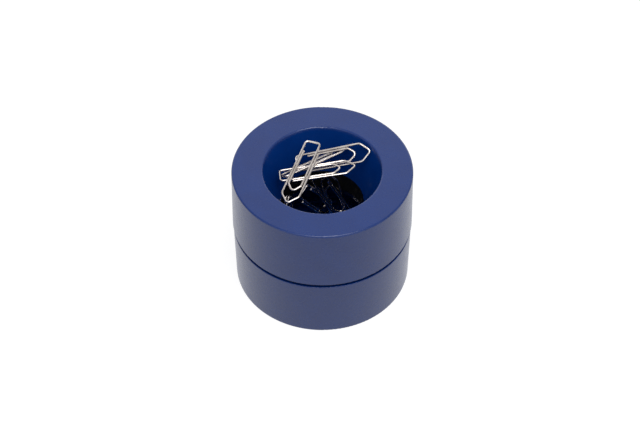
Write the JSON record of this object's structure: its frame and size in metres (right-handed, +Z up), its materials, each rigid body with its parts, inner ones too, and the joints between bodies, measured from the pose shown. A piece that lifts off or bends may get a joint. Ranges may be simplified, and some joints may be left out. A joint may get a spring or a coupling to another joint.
{
  "type": "magnetic paper clip holder",
  "caption": "Round tapered desk holder: a funnel mouth over a ring magnet keeps pointed wire paper clips in reach, and the top lifts off its cup for refilling.",
  "frame": {"origin": "centre of the underside, on the surface that the holder stands on", "axes": "+Z up along the axis of the round body, +Y away from the viewer of the picture, +X to the viewer's right"},
  "size_m": [0.074, 0.074, 0.058],
  "materials": {
    "shell_plastic": "matte",
    "retainer_plastic": "satin",
    "foot_rubber": "matte",
    "ferrite": "matte",
    "clip_wire": "gloss"
  },
  "bodies": {
    "base": {"base_cup": "shell_plastic", "foot_ring": "foot_rubber", "paper_clip_13": "clip_wire", "paper_clip_14": "clip_wire", "paper_clip_15": "clip_wire"},
    "top": {"top_shell": "shell_plastic", "ring_magnet": "ferrite", "magnet_retainer": "retainer_plastic", "paper_clip_02": "clip_wire", "paper_clip_03": "clip_wire", "paper_clip_04": "clip_wire", "paper_clip_05": "clip_wire", "paper_clip_06": "clip_wire", "paper_clip_07": "clip_wire", "paper_clip_08": "clip_wire", "paper_clip_09": "clip_wire", "paper_clip_10": "clip_wire", "paper_clip_11": "clip_wire", "paper_clip_12": "clip_wire"},
    "loose_clip": {"paper_clip_01": "clip_wire"}
  },
  "joints": [
    {"name": "top_lift", "type": "slide", "parent": "base", "child": "top", "axis": [0, 0, 1], "range_m": [0, 0.045]},
    {"name": "clip_pick", "type": "slide", "parent": "top", "child": "loose_clip", "axis": [0, 0, 1], "range_m": [0, 0.03]}
  ]
}
